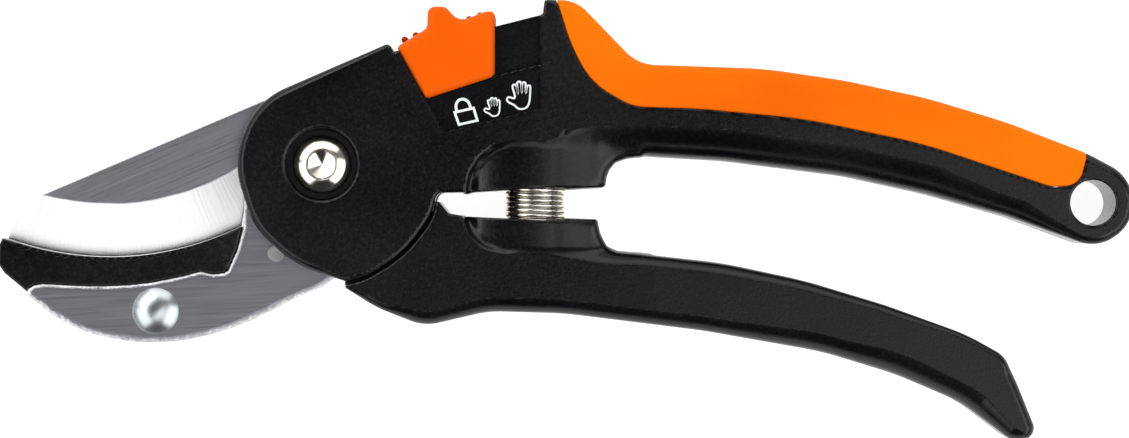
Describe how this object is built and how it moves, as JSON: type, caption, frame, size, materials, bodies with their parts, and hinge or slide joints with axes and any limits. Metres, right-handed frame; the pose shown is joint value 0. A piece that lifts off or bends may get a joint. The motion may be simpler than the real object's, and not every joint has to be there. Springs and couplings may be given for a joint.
{
  "type": "contact pruner",
  "caption": "Hand pruner with a blade closing on a jaw pad, a coil return spring between two handles, a sliding lock, an overmoulded grip and a hanging hole",
  "frame": {"origin": "centre of the bounding box in X and Y, on the surface that the tool lies on", "axes": "+X from the jaw tips to the handle ends, +Y across the levers towards the upper handle, +Z through the thickness, out of the front face"},
  "size_m": [0.2104, 0.0815, 0.018],
  "materials": {
    "black_nylon": "glass-filled nylon, fine moulded texture",
    "orange_grip": "soft satin overmoulded grip",
    "jaw_steel": "brushed, sheared edges",
    "pad_plastic": "satin moulded",
    "rivet_steel": "satin domed head",
    "pin_steel": "turned",
    "bolt_chrome": "satin chrome plate",
    "bushing_bronze": "turned",
    "spring_steel": "drawn wire",
    "blade_steel": "brushed flat with a bright ground bevel",
    "orange_slider": "satin moulded"
  },
  "bodies": {
    "upper_handle": {"upper_handle_core": "black_nylon", "upper_soft_grip": "orange_grip", "anvil_plate_front": "jaw_steel", "anvil_plate_back": "jaw_steel", "anvil_pad": "pad_plastic", "anvil_rivet": "rivet_steel", "heel_rivet": "pin_steel", "pivot_bolt": "bolt_chrome", "bolt_washer": "pin_steel", "pivot_bushing": "bushing_bronze", "thrust_washer_front": "bushing_bronze", "thrust_washer_back": "bushing_bronze", "pivot_nut": "pin_steel", "upper_spring_seat": "pad_plastic", "detent_leaf": "spring_steel", "return_spring": "spring_steel"},
    "lower_handle": {"lower_handle_core": "black_nylon", "blade": "blade_steel", "tang_pin_inner": "pin_steel", "tang_pin_outer": "pin_steel", "lower_spring_seat": "pad_plastic"},
    "lock_slider": {"lock_slider": "orange_slider", "lock_pin": "pin_steel"}
  },
  "joints": [
    {"name": "handle_pivot", "type": "hinge", "parent": "upper_handle", "child": "lower_handle", "pos_m": [-0.0448, 0.01, 0.009], "axis": [0, 0, -1], "range_deg": [0, 30], "stiffness_Nm_per_rad": 1.15, "springref_deg": 49.85, "deforming": ["return_spring"]},
    {"name": "lock_slide", "type": "slide", "parent": "upper_handle", "child": "lock_slider", "axis": [0.9703, 0.2419, 0], "range_m": [0, 0.0085]}
  ]
}
